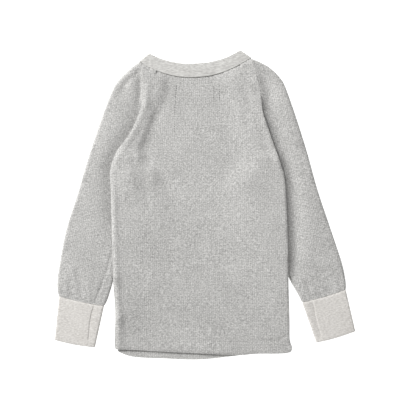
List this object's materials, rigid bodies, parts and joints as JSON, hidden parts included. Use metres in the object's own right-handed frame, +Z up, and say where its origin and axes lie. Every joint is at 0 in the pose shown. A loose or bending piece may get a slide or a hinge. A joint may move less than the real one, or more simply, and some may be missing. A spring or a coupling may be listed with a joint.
{
  "type": "thermal top laid flat",
  "caption": "Child's long-sleeved waffle-knit thermal top with a bound round neck and long rib cuffs, laid flat with its back up.",
  "frame": {"origin": "middle of the laid garment's box, on the surface that it lies on", "axes": "+Z up from the surface, +Y towards the neck, +X to the sleeve on the right as it is seen from above"},
  "size_m": [0.4532, 0.464, 0.0121],
  "materials": {
    "waffle_body": "heather grey waffle-knit cotton, matt",
    "waffle_sleeve": "heather grey waffle-knit cotton, matt",
    "rib_cuff": "oatmeal heather fine rib cotton, matt",
    "rib_binding": "oatmeal heather fine rib cotton, matt"
  },
  "bodies": {
    "root": {"back": "waffle_body", "front": "waffle_body", "sleeve_left": "waffle_sleeve", "sleeve_right": "waffle_sleeve", "cuff_left": "rib_cuff", "cuff_right": "rib_cuff", "neck_binding": "rib_binding"}
  },
  "joints": []
}
